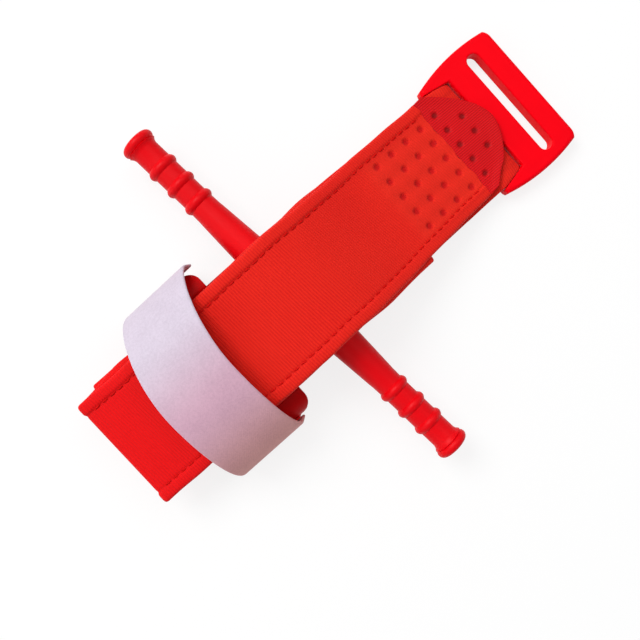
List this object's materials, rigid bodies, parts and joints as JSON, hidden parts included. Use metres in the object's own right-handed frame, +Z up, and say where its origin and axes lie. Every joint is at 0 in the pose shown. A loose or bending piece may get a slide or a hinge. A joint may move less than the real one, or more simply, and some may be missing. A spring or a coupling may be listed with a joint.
{
  "type": "windlass tourniquet",
  "caption": "Red windlass tourniquet folded for storage: webbing strap, buckle, turned rod in a clip plate, and a white strap over the folded tail.",
  "frame": {"origin": "on the base plate's flat underside, straight below the middle of the rod", "axes": "+X along the strap towards the buckle, +Y across the strap, +Z up from the base plate"},
  "size_m": [0.1698, 0.1332, 0.0335],
  "materials": {
    "moulded_red": "satin moulded",
    "clip_red": "satin moulded",
    "sleeve_cloth": "ribbed woven nylon",
    "inner_webbing": "woven webbing",
    "pull_tab": "coated woven tab",
    "white_strap": "napped loop tape",
    "hook_pad": "hook tape"
  },
  "bodies": {
    "strap_base": {"clip_plate": "clip_red", "sleeve_lower": "sleeve_cloth", "sleeve_upper_front": "sleeve_cloth", "sleeve_upper_rear": "sleeve_cloth", "inner_strap_front": "inner_webbing", "inner_strap_rear": "inner_webbing", "folded_tail": "sleeve_cloth", "strap_anchor_patch": "white_strap", "hook_pad": "hook_pad"},
    "windlass": {"windlass_rod": "moulded_red", "inner_strap_bridge": "inner_webbing"},
    "holder": {"retaining_strap": "white_strap"},
    "tail": {"tail_end": "sleeve_cloth", "tip_tab": "pull_tab"},
    "buckle": {"buckle": "moulded_red"}
  },
  "joints": [
    {"name": "windlass_turn", "type": "hinge", "parent": "strap_base", "child": "windlass", "pos_m": [0, 0, 0.0107], "axis": [0, 0, 1], "range_deg": [-22, 14], "deforming": ["inner_strap_bridge"]},
    {"name": "strap_open", "type": "hinge", "parent": "strap_base", "child": "holder", "pos_m": [-0.0355, 0.02925, 0.0102], "axis": [-0.9848, 0, -0.1736], "range_deg": [0, 110]},
    {"name": "tail_peel", "type": "hinge", "parent": "strap_base", "child": "tail", "pos_m": [-0.02, 0, 0.02494], "axis": [0, -1, 0], "range_deg": [0, 90]},
    {"name": "buckle_swing", "type": "hinge", "parent": "strap_base", "child": "buckle", "pos_m": [0.075, 0, 0.00325], "axis": [0, 1, 0], "range_deg": [0, 70]}
  ]
}
